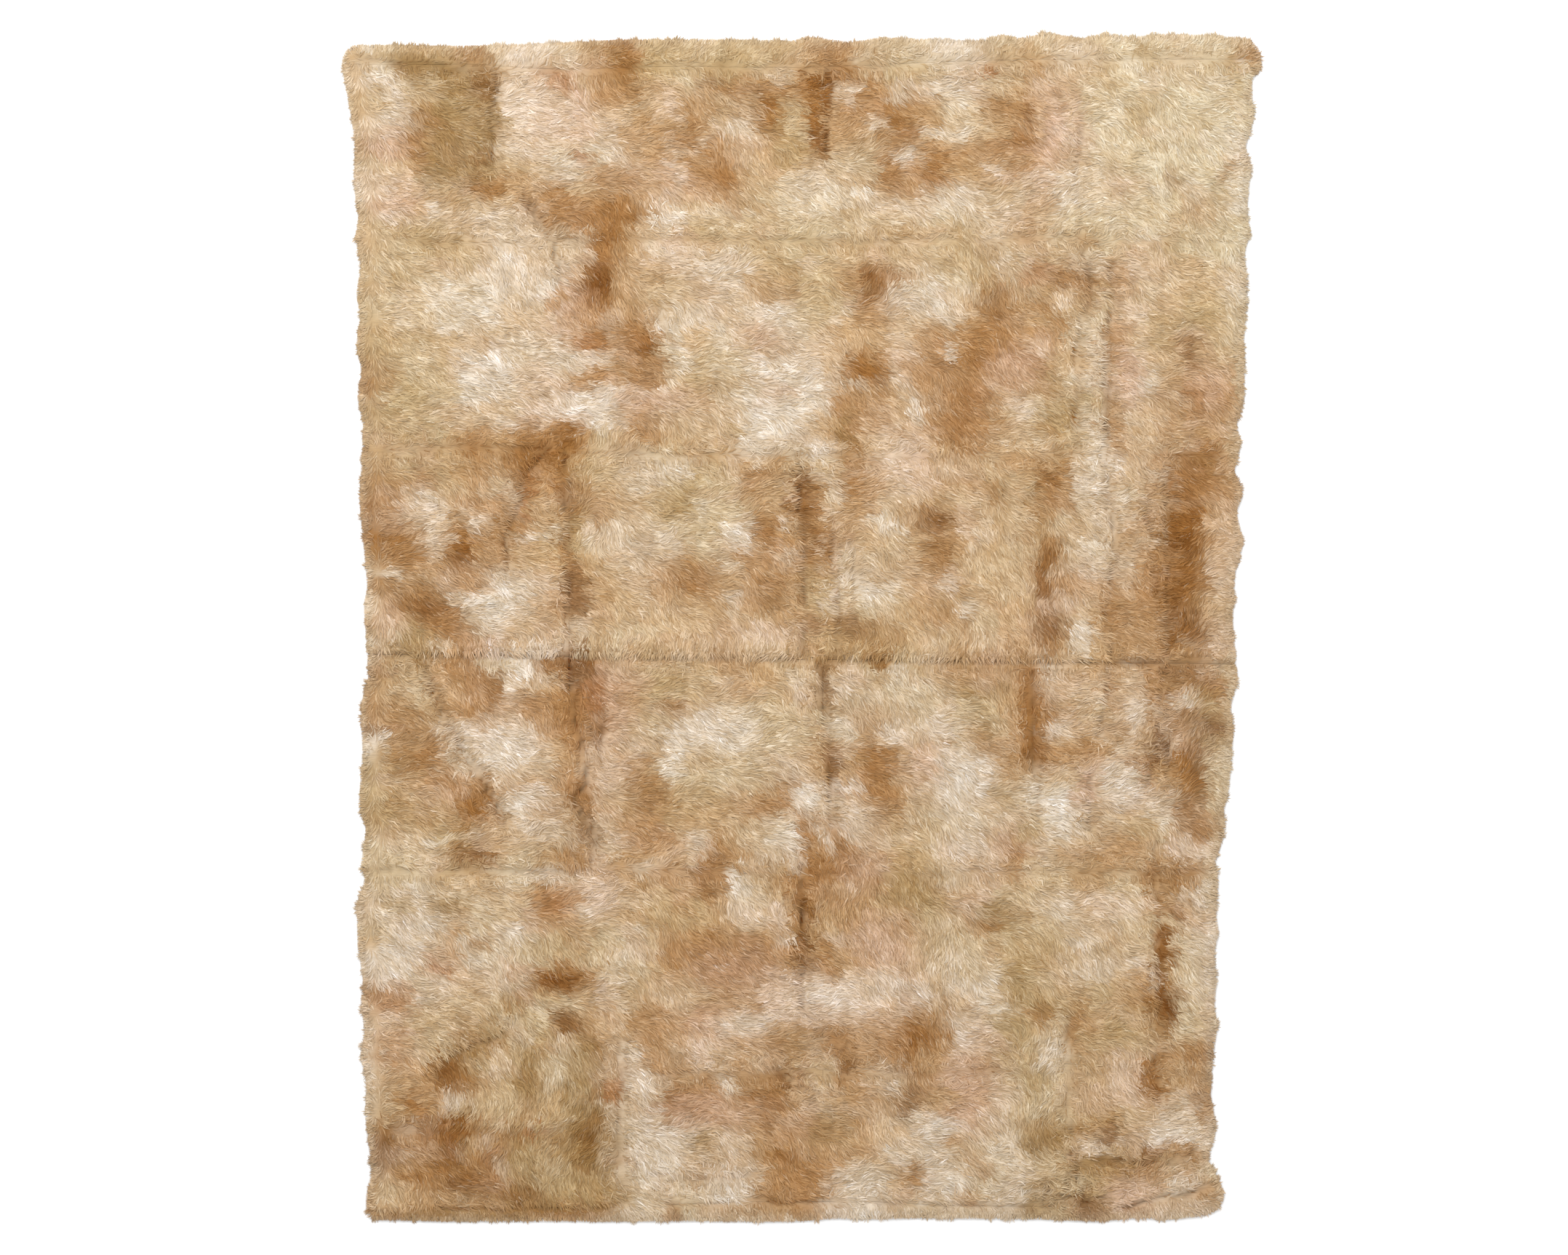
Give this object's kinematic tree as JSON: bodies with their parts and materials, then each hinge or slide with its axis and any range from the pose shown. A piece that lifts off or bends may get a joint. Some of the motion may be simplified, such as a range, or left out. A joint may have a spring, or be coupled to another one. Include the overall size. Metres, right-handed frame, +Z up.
{
  "type": "faux fur throw",
  "caption": "Rectangular faux fur throw lying flat, pile up, sewn from fur plates with border strips at its top and bottom edges.",
  "frame": {"origin": "on the surface it lies on, under the middle of the throw's box", "axes": "+Z up from the pile, +Y along the throw's length towards its top edge, +X to the right across its width"},
  "size_m": [1.5398, 2.0105, 0.0244],
  "materials": {
    "fur_plates": "long soft pile, beige and brown blotches",
    "fur_border": "long soft pile, beige and brown blotches"
  },
  "bodies": {
    "root": {"plate_upper_left": "fur_plates", "plate_upper_mid_left": "fur_plates", "plate_upper_mid_right": "fur_plates", "plate_upper_right": "fur_plates", "plate_lower_left": "fur_plates", "plate_lower_mid_left": "fur_plates", "plate_lower_mid_right": "fur_plates", "plate_lower_right": "fur_plates", "border_top": "fur_border", "border_bottom": "fur_border"}
  },
  "joints": []
}
